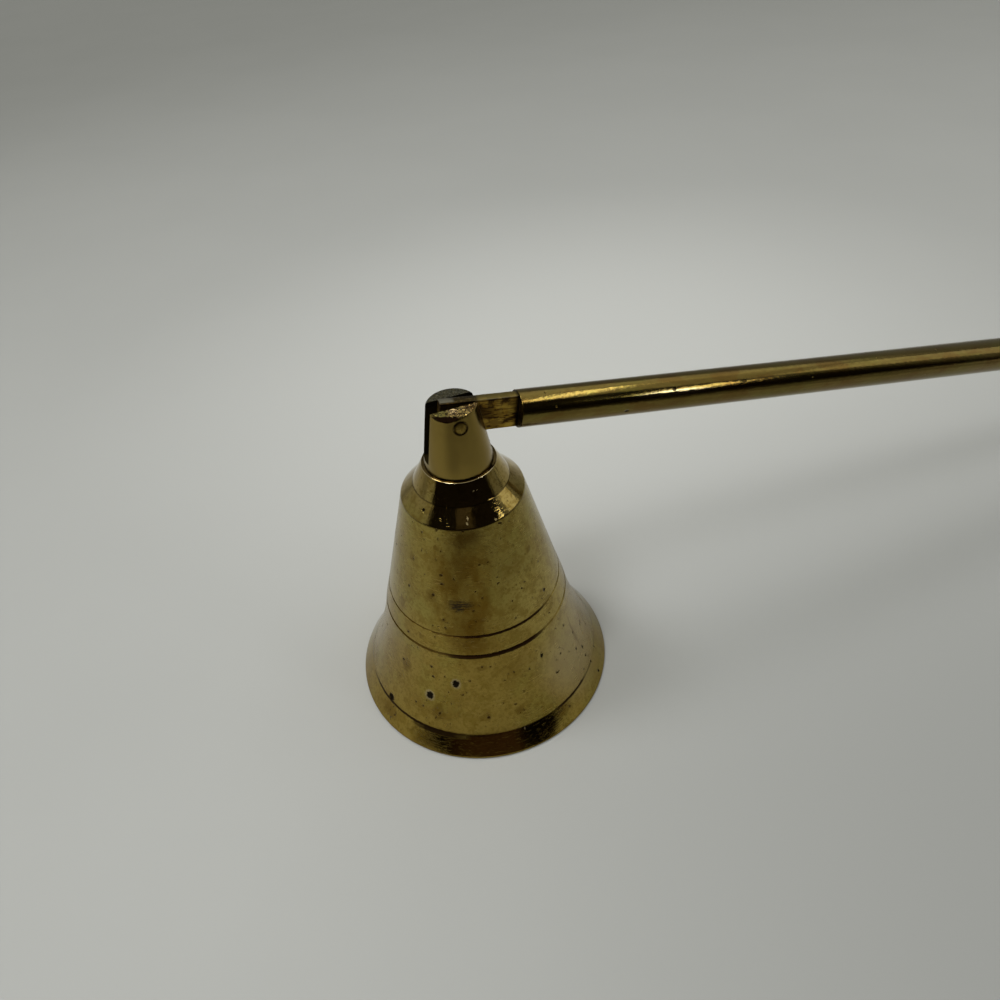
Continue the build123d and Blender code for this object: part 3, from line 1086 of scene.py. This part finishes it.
def front_curtain():
    """A dark curtain round the front of the studio, out of every view, glowing dimly as a painted
    reflection of the room. Only the brass mirrors it.
    """
    nothing_selected()
    bpy.ops.mesh.primitive_cylinder_add(
        vertices=96, radius=2.0, depth=5.0, end_fill_type="NOTHING", location=(0, 0, 2.5))
    curtain = named("front_curtain")
    edit(curtain)
    pick(curtain, "faces", lambda face: face.calc_center_median().y > 0)
    bpy.ops.mesh.delete(type="FACE")
    bpy.ops.object.mode_set(mode="OBJECT")
    drape, tree, shader, place = blank_material("glowing_curtain_mirrored", metallic=0.0)
    shader.inputs["Roughness"].default_value = 0.9
    shader.inputs["Base Color"].default_value = paint("#000000")
    shader.inputs["Specular IOR Level"].default_value = 0.0
    toward = put(tree, "ShaderNodeVectorMath", {0: place}, operation="NORMALIZE").outputs[0]
    level, rise = outlook(tree, toward)
    # The curtain's colours are emitted: a dim glow, with a brown band and a paler patch, standing in
    # for the room's reflection
    pale_fold_glow = both(
        tree, side_mask(tree, level, -107, 20, 11), height_mask(tree, rise, 0.45, 0.60))
    brown_hem_glow = both(
        tree, side_mask(tree, level, -110, 33, 22), height_mask(tree, rise, 0.16, 0.10))
    coated(tree, "#1A1614", [
        (brown_hem_glow, 1.0, "#40302A"), (pale_fold_glow, 1.0, "#4A433C")], shader.inputs["Emission Color"])
    shader.inputs["Emission Strength"].default_value = 1.0
    hung = both(tree, side_mask(tree, level, -104, 76, 66), height_mask(tree, rise, 0.82, 0.72))
    tree.links.new(hung, shader.inputs["Alpha"])
    staged(curtain, drape, mirrored_only=True)


def studio_walls():
    """Plain grey walls, paler on the left, under a pale ceiling with a window high at the back."""
    world = bpy.data.worlds.new("studio")
    bpy.context.scene.world = world
    world.use_nodes = True
    tree = world.node_tree
    toward = put(tree, "ShaderNodeTexCoord", {}).outputs["Generated"]
    level, rise = outlook(tree, toward)
    sideways = put(tree, "ShaderNodeSeparateXYZ", {0: level}).outputs[0]
    left_wall = put(tree, "ShaderNodeMapRange", {
        "Value": sideways, "From Min": -0.3, "From Max": -0.8},
        interpolation_type="SMOOTHSTEP").outputs[0]
    ceiling = height_mask(tree, rise, 0.50, 0.68)
    window = both(tree, side_mask(tree, level, 32, 35, 15), height_mask(tree, rise, 0.52, 0.64))
    backdrop = tree.nodes["Background"]
    coated(tree, "#7D7E7A", [
        (left_wall, 1.0, "#A0A19C"), (ceiling, 1.0, "#C8C8C2"), (window, 1.0, "#F0F0EA")],
        backdrop.inputs["Color"])
    backdrop.inputs["Strength"].default_value = 1.0


def soft_lamp(name, around, above, width, depth, watts, spread=180, lean=0):
    """A soft box aimed at the snuffer, placed by its bearing and height, and leaning, in degrees."""
    lamp = bpy.data.lights.new(name, "AREA")
    lamp.shape = "RECTANGLE"
    lamp.size = width
    lamp.size_y = depth
    lamp.energy = watts
    lamp.spread = math.radians(spread)
    holder = bpy.data.objects.new(name, lamp)
    bpy.context.scene.collection.objects.link(holder)
    around, above = math.radians(around), math.radians(above)
    away = Vector((
        math.cos(around) * math.cos(above), math.sin(around) * math.cos(above), math.sin(above)))
    holder.location = Vector(LAMPS_AIM) + away * LAMPS_AWAY
    holder.rotation_mode = "QUATERNION"
    aimed = (-away).to_track_quat("-Z", "Y")
    holder.rotation_quaternion = aimed @ Quaternion((0, 0, 1), math.radians(lean))


def set_camera():
    lens = bpy.data.cameras.new("camera")
    lens.lens = LENS
    lens.sensor_width = 36.0
    lens.clip_start = 0.005
    camera = bpy.data.objects.new("camera", lens)
    bpy.context.scene.collection.objects.link(camera)
    yaw, pitch, roll = (math.radians(turn) for turn in CAMERA_TURNS)
    aim = Matrix.Rotation(-yaw, 4, "Z") @ Matrix.Rotation(math.pi / 2 - pitch, 4, "X")
    stand = Matrix.Translation(CAMERA_PLACE)
    camera.matrix_world = stand @ aim @ Matrix.Rotation(roll, 4, "Z")
    bpy.context.scene.camera = camera


table_floor()
front_shade_sheet()
front_curtain()
studio_walls()
soft_lamp("left_front_soft_box", -153, 55, 0.22, 0.22, 0.28, 70)
soft_lamp("left_back_soft_box", 153, 55, 0.22, 0.22, 0.29, 70)
soft_lamp("right_soft_box", -13, 57, 0.46, 0.05, 0.40)
soft_lamp("right_low_soft_box", -13, 25, 0.32, 0.32, 0.21)
soft_lamp("front_strip_lamp", -45, 27, 0.22, 0.06, 0.30, lean=42)
set_camera()
bpy.context.scene.view_settings.view_transform = "Standard"
